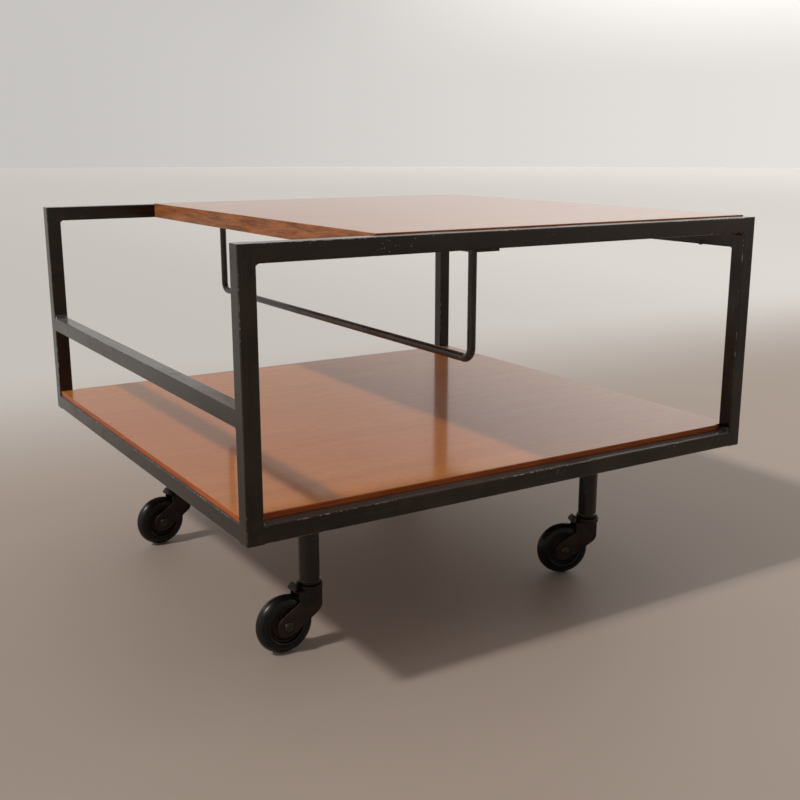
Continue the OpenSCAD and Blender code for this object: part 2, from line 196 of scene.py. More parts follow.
def add_light():
    data = bpy.data.lights.new("key", "SUN")
    data.energy = KEY_STRENGTH
    data.angle = math.radians(KEY_ANGLE)
    data.color = KEY_COLOUR
    key = bpy.data.objects.new("key", data)
    key.rotation_euler = (0, math.radians(KEY_ELEVATION - 90), 0)
    bpy.context.scene.collection.objects.link(key)


def add_world():
    """Pale walls all round, dim behind the camera. Above the horizon they are brightest at the right."""
    world = bpy.data.worlds.new("room")
    world.use_nodes = True
    bpy.context.scene.world = world
    tree = Tree(world.node_tree)
    direction = tree.nodes.new("ShaderNodeTexCoord")
    x, y, z = tree.parts(direction.outputs["Generated"])
    low = tree.ramp(x, *WALL_LOW)
    high = tree.ramp(x, *WALL_HIGH)
    share = tree.ramp(z, *WALL_RISE)
    walls = tree.math("ADD", tree.math("MULTIPLY", tree.math("SUBTRACT", 1.0, share), low),
                      tree.math("MULTIPLY", share, high))
    walls = tree.math("MULTIPLY", walls, tree.ramp(y, *WALL_BEHIND_CAMERA))
    background = tree.nodes["Background"]
    background.inputs["Color"].default_value = WALL_COLOUR
    tree.put(background.inputs["Strength"], walls)


# ---- node trees ----

class Tree:
    """A node tree, with short calls for the nodes that are used most."""

    def __init__(self, tree):
        self.nodes = tree.nodes
        self.links = tree.links

    def put(self, socket, value):
        if isinstance(value, bpy.types.NodeSocket):
            self.links.new(value, socket)
        else:
            socket.default_value = value

    def parts(self, vector):
        node = self.nodes.new("ShaderNodeSeparateXYZ")
        self.links.new(vector, node.inputs[0])
        return node.outputs

    def math(self, operation, a, b=0.0, clamp=False):
        node = self.nodes.new("ShaderNodeMath")
        node.operation = operation
        node.use_clamp = clamp
        self.put(node.inputs[0], a)
        self.put(node.inputs[1], b)
        return node.outputs[0]

    def ramp(self, value, low, high, to_low=0.0, to_high=1.0):
        """value from low..high, smoothly, to to_low..to_high."""
        node = self.nodes.new("ShaderNodeMapRange")
        node.interpolation_type = "SMOOTHSTEP"
        self.put(node.inputs["Value"], value)
        for name, number in (("From Min", low), ("From Max", high), ("To Min", to_low), ("To Max", to_high)):
            node.inputs[name].default_value = number
        return node.outputs["Result"]


class Shader(Tree):
    """A material with one Principled shader."""

    def __init__(self, name):
        self.material = bpy.data.materials.new(name)
        self.material.use_nodes = True
        super().__init__(self.material.node_tree)
        self.surface = self.nodes["Principled BSDF"]

    def set(self, name, value):
        self.surface.inputs[name].default_value = value

    def link(self, value, name):
        self.put(self.surface.inputs[name], value)

    def place(self, scale=(1, 1, 1), offset=(0, 0, 0)):
        """Object coordinates, scaled per axis, so that a pattern can be stretched."""
        coordinates = self.nodes.new("ShaderNodeTexCoord")
        mapping = self.nodes.new("ShaderNodeMapping")
        mapping.inputs["Scale"].default_value = scale
        mapping.inputs["Location"].default_value = offset
        self.links.new(coordinates.outputs["Object"], mapping.inputs["Vector"])
        return mapping.outputs["Vector"]

    def noise(self, scale, detail=4, rough=0.5, distortion=0, at=None):
        node = self.nodes.new("ShaderNodeTexNoise")
        node.inputs["Scale"].default_value = scale
        node.inputs["Detail"].default_value = detail
        node.inputs["Roughness"].default_value = rough
        node.inputs["Distortion"].default_value = distortion
        self.links.new(at or self.place(), node.inputs["Vector"])
        return node.outputs["Fac"]

    def mix(self, factor, a, b):
        node = self.nodes.new("ShaderNodeMix")
        node.data_type = "RGBA"
        self.put(node.inputs["Factor"], factor)
        self.put(node.inputs[6], a)
        self.put(node.inputs[7], b)
        return node.outputs[2]

    def blend(self, *shares):
        """Sum of values, each times its share."""
        total = None
        for value, share in shares:
            part = self.math("MULTIPLY", value, share)
            total = part if total is None else self.math("ADD", total, part)
        return total

    def bump(self, height, distance, strength=1.0, before=None):
        node = self.nodes.new("ShaderNodeBump")
        node.inputs["Strength"].default_value = strength
        node.inputs["Distance"].default_value = distance
        self.links.new(height, node.inputs["Height"])
        if before:
            self.links.new(before, node.inputs["Normal"])
        return node.outputs["Normal"]

    def facing(self):
        """Absolute X, Y and Z parts of the surface's own direction."""
        geometry = self.nodes.new("ShaderNodeNewGeometry")
        return [self.math("ABSOLUTE", part) for part in self.parts(geometry.outputs["Normal"])]

    def upward(self):
        """1 where the surface looks straight up, 0 on the sides and below."""
        geometry = self.nodes.new("ShaderNodeNewGeometry")
        return self.ramp(self.parts(geometry.outputs["Normal"])[2], 0.80, 0.97)

    def position(self):
        """X, Y and Z of the point, in object coordinates."""
        return self.parts(self.place())


# ---- materials ----

def lacquered_steel(name, along=None, dark=LACQUER_DARK, light=LACQUER_LIGHT, edges=True):
    """Dark brown lacquer over steel: streaks along the tube, patina, smudges, dust with painted reflection on
    the upward faces, worn edges and chips.
    """
    shader = Shader(name)
    stretch = [260.0, 260.0, 260.0]
    if along is not None:
        stretch[along] = 9.0
    streaks = shader.noise(1, 5, 0.6, at=shader.place(stretch))
    clouds = shader.noise(14, 5, 0.55, distortion=0.4)
    tone = shader.blend((streaks, 0.40), (clouds, 0.60))
    colour = shader.mix(shader.ramp(tone, 0.38, 0.62), (*dark, 1), (*light, 1))
    rusty = shader.ramp(shader.noise(38, 6, 0.62, at=shader.place(offset=(3, 5, 2))), 0.58, 0.74)
    colour = shader.mix(shader.math("MULTIPLY", rusty, 0.5), colour, RUST)
    smudge_noise = shader.noise(9, 5, 0.65, distortion=0.8, at=shader.place(offset=(1, 8, 6)))
    smudge = shader.ramp(smudge_noise, 0.52, 0.66)
    colour = shader.mix(shader.math("MULTIPLY", smudge, 0.7), colour, SMUDGE)
    worn = chips(shader)
    if edges:
        worn = shader.math("MAXIMUM", worn, rubbed_edges(shader))
    colour = shader.mix(shader.math("MULTIPLY", worn, 0.90), colour, BARE_STEEL)
    # Upward faces of the upper frame made lighter: dust, and painted reflection of the walls
    dust_and_reflection_mask = shader.math("MULTIPLY", shader.upward(), dust(shader, clouds))
    shader.link(shader.mix(dust_and_reflection_mask, colour, DUST_AND_REFLECTION), "Base Color")
    rough = shader.ramp(tone, 0.36, 0.64, 0.09, 0.28)
    shader.link(shader.math("ADD", rough, shader.math("MULTIPLY", smudge, 0.12)), "Roughness")
    bare = shader.math("MULTIPLY", worn, 0.6)
    shader.link(shader.math("SUBTRACT", bare, dust_and_reflection_mask, clamp=True), "Metallic")
    shader.set("Specular IOR Level", 0.44)
    shader.set("Specular Tint", WARM_SHEEN)
    peel = shader.bump(shader.noise(900, 2), 0.00003, 0.5)
    dents = shader.bump(clouds, 0.0006, 0.25, before=peel)
    shader.link(shader.bump(streaks, 0.00004, 0.6, before=dents), "Normal")
    return shader.material


def chips(shader):
    """Small chips in the lacquer, in scattered patches."""
    specks = shader.ramp(shader.noise(300, 2, 0.5), 0.69, 0.73)
    patches = shader.ramp(shader.noise(19, 3), 0.55, 0.64)
    return shader.math("MULTIPLY", shader.math("MULTIPLY", specks, patches), 0.9)


def rubbed_edges(shader):
    """Bare metal on the rounded edges, broken and patchy."""
    x, y, z = shader.facing()
    flat = shader.math("MAXIMUM", shader.math("MAXIMUM", x, y), z)
    edge = shader.ramp(shader.math("SUBTRACT", 1.0, flat), 0.08, 0.20)
    broken = shader.ramp(shader.noise(150, 5, 0.7), 0.49, 0.57)
    patchy = shader.ramp(shader.noise(8, 3, 0.5), 0.47, 0.60)
    return shader.math("MULTIPLY", shader.math("MULTIPLY", edge, broken), patchy)


def dust(shader, clouds):
    """Film of dust and painted reflection of the walls on the upper part of the frame, uneven with the clouds
    of the patina.
    """
    high = shader.ramp(shader.position()[2], DUST_AND_REFLECTION_LOW, DUST_AND_REFLECTION_HIGH)
    return shader.math("MULTIPLY", high, shader.ramp(clouds, 0.30, 0.70, 0.75, 1.0))


def ground_weld(name):
    """Weld metal under the lacquer: rougher and a little lighter than the tube."""
    shader = Shader(name)
    grain = shader.noise(320, 5, 0.65)
    colour = shader.mix(shader.ramp(grain, 0.4, 0.65), (0.005, 0.004, 0.0034, 1), (0.028, 0.023, 0.020, 1))
    shader.link(colour, "Base Color")
    shader.link(shader.ramp(grain, 0.35, 0.65, 0.25, 0.45), "Roughness")
    shader.set("Specular IOR Level", 0.65)
    shader.set("Coat Weight", 0.3)
    shader.set("Coat Roughness", 0.18)
    shader.link(shader.bump(grain, 0.0003, 0.5), "Normal")
    return shader.material


def pressed_steel(name, dark=PRESSED_DARK, light=PRESSED_LIGHT):
    """Reddish brown patina on pressed steel: mottled, matt, with oily dark spots and bare rubbed spots."""
    shader = Shader(name)
    blotch = shader.noise(95, 6, 0.6, distortion=0.6)
    fine = shader.noise(700, 4, 0.6)
    tone = shader.blend((blotch, 0.7), (fine, 0.3))
    colour = shader.mix(shader.ramp(tone, 0.36, 0.64), (*dark, 1), (*light, 1))
    oil = shader.ramp(shader.noise(60, 4, 0.55, at=shader.place(offset=(7, 1, 4))), 0.55, 0.72)
    colour = shader.mix(shader.math("MULTIPLY", oil, 0.75), colour, OIL)
    rub = shader.ramp(shader.noise(240, 5, 0.7), 0.64, 0.74)
    colour = shader.mix(shader.math("MULTIPLY", rub, 0.30), colour, PRESSED_RUB)
    shader.link(colour, "Base Color")
    shader.link(shader.ramp(tone, 0.3, 0.7, 0.38, 0.60), "Roughness")
    shader.link(shader.math("MULTIPLY", rub, 0.5), "Metallic")
    shader.set("Specular IOR Level", 0.25)
    pits = shader.bump(fine, 0.00008, 0.6)
    shader.link(shader.bump(blotch, 0.0003, 0.3, before=pits), "Normal")
    return shader.material


def plated_steel(name, colour=ZINC, tarnish=TARNISH, cover=TARNISH_FROM):
    """Plated fastener metal with brown tarnish in patches."""
    shader = Shader(name)
    cloud = shader.noise(180, 5, 0.6)
    dull = shader.ramp(cloud, cover, cover + 0.18)
    shader.link(shader.mix(dull, (*colour, 1), (*tarnish, 1)), "Base Color")
    shader.link(shader.ramp(cloud, 0.35, 0.7, 0.28, 0.6), "Roughness")
    shader.link(shader.ramp(dull, 0, 1, 1.0, 0.35), "Metallic")
    shader.link(shader.bump(cloud, 0.0001, 0.5), "Normal")
    return shader.material


def tyre_rubber(name):
    """Smooth old black rubber with dust in its pores and a dull bloom."""
    shader = Shader(name)
    bloom = shader.noise(45, 5, 0.6)
    fine = shader.noise(1200, 3, 0.6)
    colour = shader.mix(shader.ramp(bloom, 0.4, 0.7), *RUBBER)
    dust = shader.ramp(shader.noise(260, 5, 0.65), 0.62, 0.74)
    colour = shader.mix(shader.math("MULTIPLY", dust, 0.30), colour, RUBBER_DUST)
    shader.link(colour, "Base Color")
    shader.link(shader.ramp(bloom, 0.3, 0.7, 0.24, 0.36), "Roughness")
    shader.set("Specular IOR Level", 0.3)
    shader.link(shader.bump(fine, 0.00004, 0.5), "Normal")
    return shader.material


def veneer(name, seed, side_tones, gloss, plies=None):
    """Varnished orange-brown veneer, grain along X, with darker sides. A thin board shows its plies there."""
    shader = Shader(name)
    wander = shader.noise(2.2, 3, 0.5, at=shader.place((0.5, 1.6, 1), (seed, 0, 0)))
    bands_at = shader.place((0.55, 9, 9), (seed, seed, 0))
    bands = shader.noise(3.2, 5, 0.55, distortion=1.1, at=bands_at)
    fibres = shader.noise(1, 6, 0.65, distortion=0.2, at=shader.place((11, 520, 520), (0, seed, 0)))
    pores = shader.noise(1, 2, 0.5, at=shader.place((60, 2300, 2300), (seed, 0, 0)))
    ripple = shader.noise(1, 4, 0.6, distortion=0.3, at=shader.place((75, 210, 210), (0, 4, seed)))
    tone = shader.blend((bands, 0.36), (fibres, 0.26), (ripple, 0.38))
    colour = shader.mix(shader.ramp(tone, 0.38, 0.62), *VENEER)
    colour = shader.mix(shader.ramp(wander, 0.40, 0.68), colour, VENEER_RED)
    colour = shader.mix(shader.math("MULTIPLY", shader.ramp(pores, 0.60, 0.72), 0.45), colour, PORE)
    flecks = shader.noise(1, 4, 0.7, at=shader.place((26, 620, 620), (seed, 7, 0)))
    colour = shader.mix(shader.math("MULTIPLY", shader.ramp(flecks, 0.55, 0.70), 0.28), colour, FLECK)
    side = shader.ramp(shader.facing()[2], 0.45, 0.8, 1.0, 0.0)
    shader.link(shader.mix(side, colour, board_side(shader, seed, side_tones, plies)), "Base Color")
    shader.link(shader.ramp(fibres, 0.3, 0.7, 0.30, 0.42), "Roughness")
    shader.set("Specular IOR Level", 0.08)
    dulling = shader.math("MULTIPLY", side, gloss * SIDE_DULLING)
    shader.link(shader.math("SUBTRACT", gloss, dulling), "Coat Weight")
    shader.set("Coat Roughness", 0.10)
    shader.set("Coat IOR", 1.5)
    grain = shader.bump(pores, 0.00005, 0.35)
    swell = shader.bump(ripple, 0.0002, 0.10, before=grain)
    shader.link(shader.bump(bands, 0.0006, 0.10, before=swell), "Normal")
    return shader.material


def board_side(shader, seed, tones, plies):
    """Colour of a board's sides: mottled along the edge, with core plies where the board is plywood."""
    grain = shader.noise(1, 5, 0.6, distortion=0.3, at=shader.place((45, 45, 480), (0, 0, seed)))
    mottle = shader.noise(1, 5, 0.6, distortion=0.6, at=shader.place((13, 13, 150), (seed, 0, 0)))
    low, high = tones
    share = shader.ramp(shader.blend((grain, 0.4), (mottle, 0.6)), 0.34, 0.64)
    colour = shader.mix(share, (*low, 1), (*high, 1))
    if plies:
        bottom, count, thick = plies
        above = shader.math("SUBTRACT", shader.position()[2], bottom)
        layer = shader.math("PINGPONG", shader.math("DIVIDE", above, thick / count), 1.0)
        colour = shader.mix(shader.ramp(layer, 0.35, 0.65, 0.0, 0.45), colour, CORE_PLY)
    return colour


def dress(material, *nodes):
    """Gives CAD nodes a material in place of the plain one they came with."""
    for name in nodes:
        frame["nodes"][name].data.materials.clear()
        frame["nodes"][name].data.materials.append(material)


# ---- meshes: sizes in millimetres, turned into metres by the place matrix ----

def arc(across, up, radius, start, end, count):
    """Points on a circle, from one angle to another, in degrees."""
    angles = [math.radians(start + (end - start) * i / count) for i in range(count + 1)]
    return [(across + radius * math.cos(a), up + radius * math.sin(a)) for a in angles]


def loft(work, rings, loop=False):
    """Skins rings of points one after another. The ends are capped, unless the rings close on themselves."""
    made = [[work.verts.new(point) for point in ring] for ring in rings]
    pairs = list(zip(made, made[1:]))
    if loop:
        pairs.append((made[-1], made[0]))
    else:
        work.faces.new(made[0])
        work.faces.new(made[-1])
    for low, high in pairs:
        for i in range(len(low)):
            j = (i + 1) % len(low)
            work.faces.new((low[i], low[j], high[j], high[i]))


def turn(work, profile, place, steps=64, loop=True):
    """Turns a profile of (radius, height) about Z. A radius may be a function of the angle."""
    rings = []
    for radius, height in profile:
        ring = []
        for i in range(steps):
            angle = 2 * math.pi * i / steps
            reach = radius(angle) if callable(radius) else radius
            ring.append(place @ Vector((reach * math.cos(angle), reach * math.sin(angle), height)))
        rings.append(ring)
    loft(work, rings, loop)


def combine(work, tool, operation):
    """One closed mesh from two: their union, or the first less the second."""
    pair = []
    for part in (work, tool):
        bmesh.ops.recalc_face_normals(part, faces=part.faces)
        mesh = bpy.data.meshes.new("part")
        part.to_mesh(mesh)
        part.free()
        pair.append(bpy.data.objects.new("part", mesh))
        bpy.context.scene.collection.objects.link(pair[-1])
    modifier = pair[0].modifiers.new("combine", "BOOLEAN")
    modifier.operation = operation
    modifier.object = pair[1]
    result = bmesh.new()
    result.from_object(pair[0], bpy.context.evaluated_depsgraph_get())
    for part in pair:
        bpy.data.meshes.remove(part.data)
    return result


def make_piece(name, work, material, body, slot, *nodes):
    """A finished piece: crisp where it is sharper than CREASE, riding on a body, in place of CAD nodes."""
    bmesh.ops.recalc_face_normals(work, faces=work.faces)
    for face in work.faces:
        face.smooth = True
    for edge in work.edges:
        edge.smooth = edge.calc_face_angle(0.0) < math.radians(CREASE)
    mesh = bpy.data.meshes.new(name)
    work.to_mesh(mesh)
    work.free()
    mesh.materials.append(material)
    piece = bpy.data.objects.new(name, mesh)
    bpy.context.scene.collection.objects.link(piece)
    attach(piece, body)
    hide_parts(*nodes)


# ---- casters ----

class Caster:
    """Places of one caster: its stem's frame with the wheel towards +X, and its axle's frame along Z."""

    def __init__(self, corner):
        swivel = Vector(JOINTS["swivel_" + corner]["pos_m"])
        roll = Vector(JOINTS["roll_" + corner]["pos_m"])
        arm = (roll - swivel).to_2d()
        turned = Matrix.Rotation(math.atan2(arm.y, arm.x), 4, "Z")
        self.corner = corner
        self.trail = arm.length / MM
        self.axle_z = roll.z / MM
        self.stem = Matrix.Translation((swivel.x, swivel.y, 0)) @ turned @ Matrix.Scale(MM, 4)
        out = Matrix.Translation((self.trail, 0, self.axle_z)) @ Matrix.Rotation(-math.pi / 2, 4, "X")
        self.axle = self.stem @ out

    def make(self, name, work, material, body, slot, node):
        """A piece of this caster, on one of its own bodies or, with none, on the frame."""
        body = body + self.corner if body else "frame"
        make_piece(name + self.corner, work, material, body, slot, node + self.corner)


def both_sides(half):
    """A profile's upper half, followed by its mirror image."""
    return half + [(radius, -height) for radius, height in reversed(half)]


def rounded_strip(low, high, thick, edge):
    """Outline of a strip from low to high, its four corners rounded."""
    outline = arc(high - edge, thick - edge, edge, 0, 90, CORNER_STEPS)
    outline += arc(low + edge, thick - edge, edge, 90, 180, CORNER_STEPS)
    outline += arc(low + edge, edge, edge, 180, 270, CORNER_STEPS)
    outline += arc(high - edge, edge, edge, 270, 360, CORNER_STEPS)
    return outline


def tyre(caster):
    """Rounded solid tyre: beads at the disc, a groove beside them, a rib on the wall and a mould line."""
    wall, tread = TYRE_W / 2, caster.axle_z - TYRE_W / 2
    half = arc(DISC_R + BEAD_R, wall - BEAD_R, BEAD_R, 180, 90, 6)
    half += [(28.2, wall), (28.7, wall - 0.7), (29.3, wall - 0.7), (29.8, wall - 0.05)]
    half += arc(tread, 0, wall - TREAD_EASE, 86, 58, 6)
    half += arc(tread, 0, wall, 56, 50, 2)
    half += arc(tread, 0, wall - TREAD_RELIEF, 47, 3.5, 9)
    half += [(tread + wall, MOULD_LINE)]
    work = bmesh.new()
    turn(work, both_sides(half), caster.axle, 96)
    caster.make("tyre_rubber_", work, rubber, "wheel_", "tyre_rubber", "tyre_")


def wheel_disc(caster):
    """Pressed disc: long hub, dished web, a groove and a rolled rim that holds the tyre."""
    half = [(BOLT_R + BORE_PLAY, HUB_HALF), (HUB_R - HUB_EASE, HUB_HALF), (HUB_R, HUB_HALF - HUB_EASE)]
    half += [(9.2, 9.2), (13.0, 9.0)] + arc(13.0, 8.0, 1.0, 80, 10, 4)
    half += arc(16.0, 7.6, 1.6, 190, 265, 5)
    half += [(18.6, 5.9)] + arc(19.2, 4.9, 1.0, 85, 20, 4) + arc(20.8, 4.4, 0.6, 200, 340, 5)
    half += arc(22.7, 7.2, 1.3, 175, 15, 8)
    work = bmesh.new()
    turn(work, both_sides(half), caster.axle, 72)
    caster.make("wheel_pressing_", work, disc_metal, "wheel_", "disc_steel", "wheel_disc_")


def axle_bolt(caster):
    """Low round head with a worn crown, plain shank, and a threaded, chamfered end past the nut."""
    end = -FORK_HALF - NUT_H - BOLT_TAIL
    profile = [(BOLT_R - BOLT_CHAMFER, end), (BOLT_R, end + BOLT_CHAMFER)]
    for i in range(THREADS):
        height = end + 1.1 + i * THREAD_PITCH
        profile += [(BOLT_R, height), (BOLT_R - THREAD_DEPTH, height + THREAD_PITCH / 2)]
    profile += [(BOLT_R, -FORK_HALF), (BOLT_R, FORK_HALF), (HEAD_R, FORK_HALF), (HEAD_R, FORK_HALF + 0.7)]
    profile += arc(HEAD_R - 1.0, FORK_HALF + 0.9, 1.0, 0, 60, 3)
    profile += [(3.6, FORK_HALF + 2.35), (1.6, FORK_HALF + HEAD_H), (0.5, FORK_HALF + HEAD_H)]
    work = bmesh.new()
    turn(work, profile, caster.axle, 48, loop=False)
    caster.make("bolt_", work, zinc, "swivel_", "zinc", "axle_bolt_")


def axle_nut(caster):
    """Hexagon with its corners chamfered on both faces, as a turned nut has them."""
    flat = NUT_FLATS / 2
    bore = BOLT_R + BORE_PLAY / 2

    def hexagon(angle):
        return flat / math.cos((angle % (math.pi / 3)) - math.pi / 6)

    def chamfered(angle):
        return min(hexagon(angle), flat + 0.15)

    outer, inner = -FORK_HALF - NUT_H, -FORK_HALF
    profile = [(bore, outer + 0.3), (BOLT_R + 0.5, outer), (chamfered, outer), (hexagon, outer + NUT_CHAMFER)]
    profile += [(hexagon, inner - NUT_CHAMFER), (chamfered, inner), (bore, inner)]
    work = bmesh.new()
    turn(work, profile, caster.axle, 72)
    caster.make("nut_", work, zinc, "swivel_", "zinc", "axle_nut_")


def upper_race(caster):
    """Turned collar under the stem, with its ball groove."""
    bore = PIN_R + BORE_PLAY
    profile = [(bore, RACE_BOSS_LOW), (BALL_PITCH - GROOVE_HALF, RACE_BOSS_LOW)]
    profile += [(BALL_PITCH, RACE_BOSS_LOW + GROOVE_DEPTH), (BALL_PITCH + GROOVE_HALF, RACE_BOSS_LOW)]
    profile += [(RACE_BOSS_R, RACE_BOSS_LOW), (RACE_BOSS_R, RACE_LOW)]
    profile += arc(RACE_R - RACE_FOOT, RACE_LOW + RACE_FOOT, RACE_FOOT, -90, 0, 3)
    profile += arc(RACE_R - RACE_SHOULDER, RACE_HIGH - RACE_SHOULDER, RACE_SHOULDER, 0, 90, 4)
    profile += [(bore, RACE_HIGH)]
    work = bmesh.new()
    turn(work, profile, caster.stem, 64)
    caster.make("race_", work, race_metal, None, "caster_steel", "upper_race_")


def cheek_span(caster, z):
    """Rearmost and foremost reach of the fork's cheek at a height."""
    elbow, eye = Vector((ELBOW_S, ELBOW_Z)), Vector((caster.trail, caster.axle_z))
    spans = []
    for centre, radius in ((elbow, ELBOW_R), (eye, EYE_R)):
        if abs(z - centre.y) < radius:
            half = math.sqrt(radius ** 2 - (z - centre.y) ** 2)
            spans.append((centre.x - half, centre.x + half))
    down = (eye - elbow).normalized()
    for side in (-1, 1):
        normal = Vector((down.y, -down.x)) * side
        top, low = elbow - normal * ELBOW_R, eye - normal * EYE_R
        if low.y <= z <= top.y:
            s = low.x + (top.x - low.x) * (z - low.y) / (top.y - low.y)
            spans.append((s, s))
    if z >= ELBOW_Z:
        spans.append((-FORK_BACK, FORK_FRONT))
    return min(a for a, _ in spans), max(b for _, b in spans)


def sheet_ring(caster, y, z, normal, thick, span):
    """Section of the fork's sheet: a strip from the span's rear to its front, with rounded edges."""
    rear, front = span
    edge = min(SHEET_EDGE, (front - rear) / 2 - 0.05)
    inward = Vector((0, -normal[0], -normal[1]))
    outline = rounded_strip(rear, front, thick, edge)
    return [caster.stem @ (Vector((s, y, z)) + inward * depth) for s, depth in outline]


def fork_sheet(caster):
    """Both cheeks and the crown, bent from one sheet."""
    low = caster.axle_z - EYE_R
    heights = [low + EYE_R * (1 - math.cos(math.radians(a))) for a in EYE_STEPS]
    rise = ELBOW_Z + 6 - heights[-1]
    heights += [heights[-1] + rise * i / CHEEK_STEPS for i in range(1, CHEEK_STEPS + 1)]
    heights.append(CROWN_TOP - FORK_BEND)
    half = [(FORK_HALF, z, (1, 0), CHEEK, cheek_span(caster, z)) for z in heights]
    bend = arc(FORK_HALF - FORK_BEND, CROWN_TOP - FORK_BEND, FORK_BEND, 0, 90, BEND_STEPS)
    for i, (y, z) in enumerate(bend[1:], 1):
        angle = math.pi / 2 * i / BEND_STEPS
        thick = CHEEK + (CROWN_THICK - CHEEK) * i / BEND_STEPS
        half.append((y, z, (math.cos(angle), math.sin(angle)), thick, (-FORK_BACK, FORK_FRONT)))
    other = [(-y, z, (-n[0], n[1]), thick, span) for y, z, n, thick, span in reversed(half)]
    work = bmesh.new()
    loft(work, [sheet_ring(caster, *station) for station in half + other])
    return work


def fork_cup(caster):
    """Round cup pressed up from the crown, with a rolled rim and the lower ball groove."""
    floor = CROWN_TOP - CROWN_THICK
    bore = PIN_R + BORE_PLAY
    lip = CUP_RIM - BORE_PLAY
    profile = [(bore, floor)]
    profile += arc(CUP_R - CUP_FOOT, floor + CUP_FOOT, CUP_FOOT, -90, 0, 4)
    profile += arc(CUP_R - CUP_RIM, CUP_HIGH - CUP_RIM, CUP_RIM, 0, 90, 4)
    profile += arc(CUP_BORE + lip, CUP_HIGH - lip, lip, 90, 180, 4)
    profile += [(CUP_BORE, CROWN_TOP), (BALL_PITCH + GROOVE_HALF, CROWN_TOP)]
    profile += [(BALL_PITCH, CROWN_TOP - GROOVE_DEPTH), (BALL_PITCH - GROOVE_HALF, CROWN_TOP)]
    profile += [(bore, CROWN_TOP)]
    work = bmesh.new()
    turn(work, profile, caster.stem, 64)
    return work


def fork(caster):
    """Sheet and cup in one."""
    work = combine(fork_sheet(caster), fork_cup(caster), "UNION")
    caster.make("fork_pressing_", work, fork_metal, "swivel_", "fork_steel", "fork_")


def fork_lip(caster):
    """Ear that leaves the crown over the tyre, turns up and leans back, narrower towards its round top."""
    floor = CROWN_TOP - CROWN_THICK
    bend = LIP_OUT - LIP_BEND
    path = [(LIP_ROOT, floor), (bend, floor)]
    path += arc(bend, floor + LIP_BEND, LIP_BEND, -90, 14, 8)[1:]
    path += [(LIP_OUT - 1.4, 89.0), (LIP_OUT - 2.6, 91.2), (LIP_OUT - 4.0, 93.2), (LIP_OUT - 5.3, LIP_TOP)]
    rings = []
    for i, (s, z) in enumerate(path):
        before, after = Vector(path[max(i - 1, 0)]), Vector(path[min(i + 1, len(path) - 1)])
        along = (after - before).normalized()
        inward = Vector((-along.y, along.x))
        grow = min(max((z - LIP_NARROW_FROM) / (LIP_TOP - LIP_NARROW_FROM), 0), 1)
        half = LIP_HALF - LIP_NARROW_BY * grow ** 2
        thick = LIP_THICK * (1 - LIP_THIN_BY * grow)
        ring = []
        for y, depth in rounded_strip(-half, half, thick, SHEET_EDGE):
            ring.append(caster.stem @ Vector((s + inward.x * depth, y, z + inward.y * depth)))
        rings.append(ring)
    work = bmesh.new()
    loft(work, rings)
    # The ear takes the near-black race metal: its own dark finish, and partly painted shade
    caster.make("fork_ear_", work, race_metal, "swivel_", "fork_steel", "fork_")


# ---- welds ----

def weld_strip(work, corner, first, second, along, length):
    """Concave weld in the corner between two faces, with small ripples, fading at both ends."""
    rings = []
    for i in range(WELD_STEPS + 1):
        share = i / WELD_STEPS
        spot = corner + along * (length * share)
        ripple = RIPPLE * noise.noise(spot / MM * RIPPLE_SIZE) + TREMOR * math.sin(i * TREMOR_STEP)
        leg = (WELD_LEG + ripple) * (WELD_END if i in (0, WELD_STEPS) else 1) * MM
        root = WELD_ROOT * MM
        section = [(leg, -root), (leg, 0.0)]
        section += [(leg - leg * math.sin(a), leg - leg * math.cos(a)) for a in WELD_ANGLES]
        section += [(0.0, leg), (-root, leg), (-root, -root)]
        rings.append([spot + first * u + second * v for u, v in section])
    loft(work, rings)


def seam_fill(work, corner, first, second, low, high):
    """Metal that fills the round edge of a post where a rail meets it, ground flush with both."""
    centre = corner + (first + second) * TUBE_EDGE
    ring = [corner + (first + second) * FLUSH]
    for i in range(SEAM_STEPS + 1):
        angle = math.pi / 2 * i / SEAM_STEPS
        ring.append(centre - (first * math.sin(angle) + second * math.cos(angle)) * TUBE_EDGE)
    loft(work, [[Vector((p.x, p.y, z)) for p in ring] for z in (low, high)])


def post_welds(work, seams, end, side, rails):
    """Welds and ground seams of the rails that meet one post."""
    x_sign, y_sign = (1 if side == "left" else -1), (1 if end == "front" else -1)
    low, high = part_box("post_%s_%s" % (end, side))
    inner = Vector((high.x if x_sign > 0 else low.x, high.y if y_sign > 0 else low.y, 0))
    outer = Vector((low.x if x_sign > 0 else high.x, low.y if y_sign > 0 else high.y, 0))
    away_x, away_y = X * x_sign, Y * y_sign
    length = (high - low).x - 2 * TUBE_EDGE
    across = min(inner.y, outer.y) + TUBE_EDGE
    for z, up in ((rails["low"][1].z, Z), (rails["high"][0].z, -Z)):
        weld_strip(work, Vector((inner.x, across, z)), away_x, up, Y, length)
    z, up = (rails["left"][1].z, Z) if side == "left" else (rails["right"][0].z, -Z)
    start = Vector((min(inner.x, outer.x) + TUBE_EDGE, inner.y, z))
    weld_strip(work, start, away_y, up, X, length)
    along_x = [rails["low"], rails["high"]]
    along_y = [rails["low"], rails[side]]
    for seam, first, second, spans in (
        (Vector((inner.x, outer.y, 0)), -away_x, away_y, along_x),
        (Vector((outer.x, inner.y, 0)), away_x, -away_y, along_y),
        (inner, -away_x, -away_y, along_x + [rails[side]]),
    ):
        for span in spans:
            seam_fill(seams, seam, first, second, span[0].z, span[1].z)


def stem_weld(work, corner):
    """Ring of weld around the foot of a stem, over its ball race."""
    low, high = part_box("stem_" + corner)
    radius = (high.x - low.x) / 2 / MM
    centre = (low + high) / 2
    place = Matrix.Translation((centre.x, centre.y, low.z)) @ Matrix.Scale(MM, 4)
    turn(work, [(radius + out, height) for out, height in STEM_RING], place, 64)


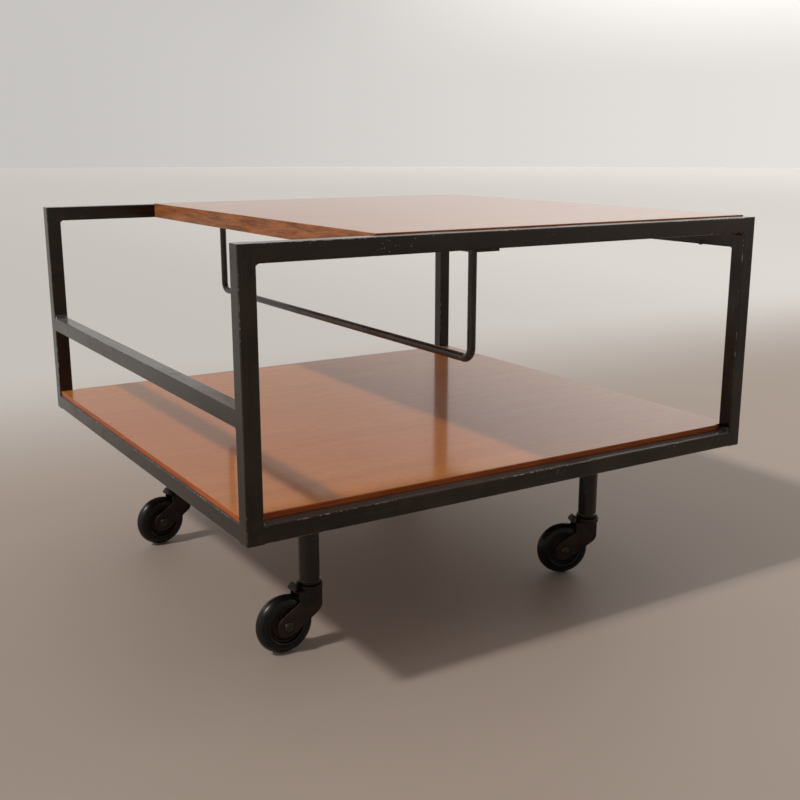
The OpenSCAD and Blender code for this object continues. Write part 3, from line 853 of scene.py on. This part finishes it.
def frame_welds():
    """Welds in the inner corners of the frame, ground seams beside the posts, and a ring under each stem."""
    work, seams = bmesh.new(), bmesh.new()
    rails = {"low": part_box("bottom_rail_front"), "high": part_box("top_rail_front"),
             "left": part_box("guard_rail_left"), "right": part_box("top_rail_right")}
    for side in ("left", "right"):
        for end in ("front", "back"):
            post_welds(work, seams, end, side, rails)
    for corner in CORNERS:
        stem_weld(work, corner)
    make_piece("welds", work, weld_metal, "frame", "weld_steel", "weld_fillets")
    make_piece("ground_seams", seams, steel_z, "frame", "weld_steel", "weld_fillets")


# ---- run ----

add_camera()
add_world()
add_light()
add_floor()

steel_x = lacquered_steel("frame_steel_x", 0)
steel_y = lacquered_steel("frame_steel_y", 1)
steel_z = lacquered_steel("frame_steel_z", 2)
# Bottle rod: the frame's lacquer made lighter, as painted reflection of the walls on its run
rod_steel = lacquered_steel("rod_steel", None, (0.010, 0.0075, 0.006), (0.040, 0.032, 0.027), edges=False)
stem_steel = lacquered_steel("stem_steel", 2, (0.0032, 0.0024, 0.0018), (0.0085, 0.0058, 0.0043), edges=False)
weld_metal = ground_weld("weld_metal")
fork_metal = pressed_steel("fork_metal")
race_metal = pressed_steel("race_metal", (0.0035, 0.0028, 0.0024), (0.010, 0.0075, 0.006))
disc_metal = pressed_steel("disc_metal", (0.0085, 0.0042, 0.003), (0.034, 0.0135, 0.0088))
zinc = plated_steel("zinc_plate")
bright = plated_steel("ball_steel", (0.6, 0.6, 0.59), (0.2, 0.16, 0.12), 0.62)
rubber = tyre_rubber("tyre_rubber_black")
shelf_low, shelf_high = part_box("lower_shelf")
shelf_plies = (shelf_low.z, PLIES, shelf_high.z - shelf_low.z)
top_wood = veneer("top_veneer", TOP_SEED, SLAB_SIDES, TOP_GLOSS)
shelf_wood = veneer("shelf_veneer", SHELF_SEED, SHELF_SIDES, SHELF_GLOSS, shelf_plies)

dress(steel_z, "post_front_left", "post_front_right", "post_back_left", "post_back_right")
dress(steel_z, "post_caps")
dress(steel_x, "top_rail_front", "top_rail_back", "bottom_rail_front", "bottom_rail_back", "slab_tabs")
dress(steel_y, "top_rail_right", "guard_rail_left", "bottom_rail_left", "bottom_rail_right")
dress(steel_y, "caster_bar_left", "caster_bar_right")
dress(rod_steel, "bottle_rod")
dress(top_wood, "top_slab")
dress(shelf_wood, "lower_shelf")
dress(zinc, "top_screws", "shelf_screws")
for corner in CORNERS:
    dress(stem_steel, "stem_" + corner)
    dress(zinc, "kingpin_" + corner)
    dress(bright, "balls_" + corner)
    caster = Caster(corner)
    for make in (tyre, wheel_disc, axle_bolt, axle_nut, upper_race, fork, fork_lip):
        make(caster)
frame_welds()

bpy.context.scene.view_settings.view_transform = "Standard"
